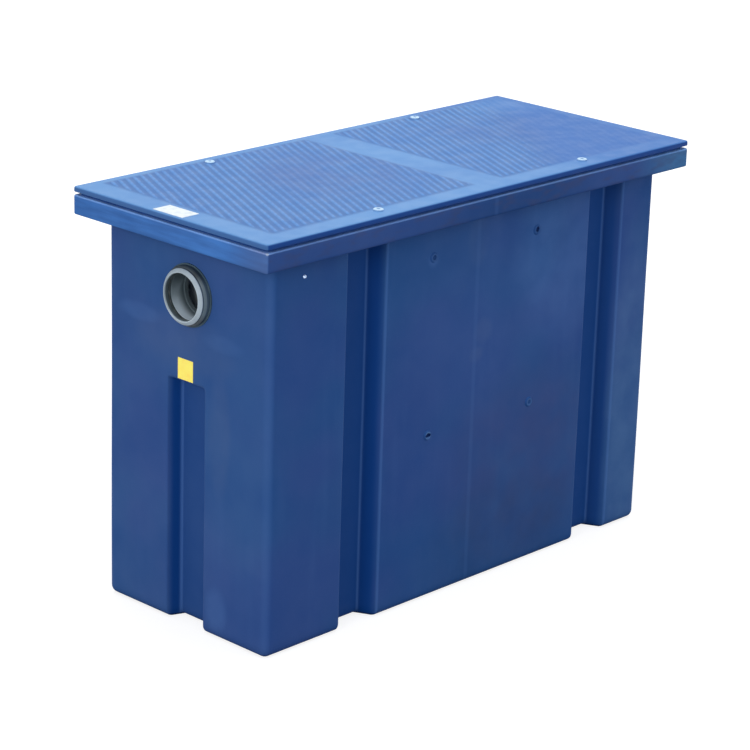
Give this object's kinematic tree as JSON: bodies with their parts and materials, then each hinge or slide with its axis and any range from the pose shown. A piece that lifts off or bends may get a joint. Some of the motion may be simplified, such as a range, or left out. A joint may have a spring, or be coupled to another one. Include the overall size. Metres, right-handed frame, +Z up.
{
  "type": "oil separator",
  "caption": "Box-shaped moulded tank with a screwed tread lid, ring-seal pipe sockets at both ends, cross baffles, a coalescer and a float-worked outlet closure.",
  "frame": {"origin": "on the floor under the centre of the rim", "axes": "+X along the length from the inlet end to the outlet end, +Y to the far long side, +Z up"},
  "size_m": [1.456, 0.64, 1.009],
  "materials": {
    "tank_plastic": "satin moulded",
    "lid_plastic": "satin moulded",
    "socket_plastic": "smooth",
    "screw_plastic": "smooth",
    "plug_plastic": "satin moulded",
    "seal_rubber": "matte",
    "insert_brass": "turned",
    "stainless": "brushed",
    "sheet_plastic": "smooth sheet",
    "plate_plastic": "smooth",
    "float_plastic": "smooth",
    "knob_plastic": "smooth",
    "label_yellow": "film",
    "label_white": "film"
  },
  "bodies": {
    "tank": {"tank_body": "tank_plastic", "lid": "lid_plastic", "lid_seal": "seal_rubber", "lid_screw_1": "screw_plastic", "lid_screw_2": "screw_plastic", "lid_screw_3": "screw_plastic", "lid_screw_4": "screw_plastic", "lid_insert_1": "insert_brass", "lid_insert_2": "insert_brass", "lid_insert_3": "insert_brass", "lid_insert_4": "insert_brass", "inlet_socket": "socket_plastic", "inlet_seal_ring": "seal_rubber", "inlet_gasket": "seal_rubber", "inlet_lock_nut": "socket_plastic", "outlet_socket": "socket_plastic", "outlet_seal_ring": "seal_rubber", "outlet_gasket": "seal_rubber", "outlet_lock_nut": "socket_plastic", "deflector_bar": "stainless", "inlet_deflector": "sheet_plastic", "deflector_screw_1": "stainless", "deflector_screw_2": "stainless", "inlet_baffle": "sheet_plastic", "outlet_baffle": "sheet_plastic", "baffle_screw_1": "plug_plastic", "baffle_screw_2": "plug_plastic", "baffle_screw_3": "plug_plastic", "baffle_screw_4": "plug_plastic", "baffle_screw_5": "plug_plastic", "baffle_screw_6": "plug_plastic", "baffle_screw_7": "plug_plastic", "baffle_screw_8": "plug_plastic", "baffle_nut_1": "stainless", "baffle_nut_2": "stainless", "baffle_nut_3": "stainless", "baffle_nut_4": "stainless", "baffle_nut_5": "stainless", "baffle_nut_6": "stainless", "baffle_nut_7": "stainless", "baffle_nut_8": "stainless", "coalescer_frame": "stainless", "coalescer_plates": "plate_plastic", "coalescer_handle": "stainless", "spacer_rod_1": "sheet_plastic", "spacer_rod_2": "sheet_plastic", "spacer_rod_3": "sheet_plastic", "spacer_rod_4": "sheet_plastic", "outlet_riser": "socket_plastic", "closure_body": "socket_plastic", "closure_cage": "socket_plastic", "inlet_label": "label_yellow", "lid_label": "label_white"},
    "float": {"closure_float": "float_plastic", "closure_seal": "seal_rubber", "float_rod": "stainless", "float_knob": "knob_plastic"}
  },
  "joints": [
    {"name": "float_lift", "type": "slide", "parent": "tank", "child": "float", "axis": [0, 0, 1], "range_m": [0, 0.07]}
  ]
}
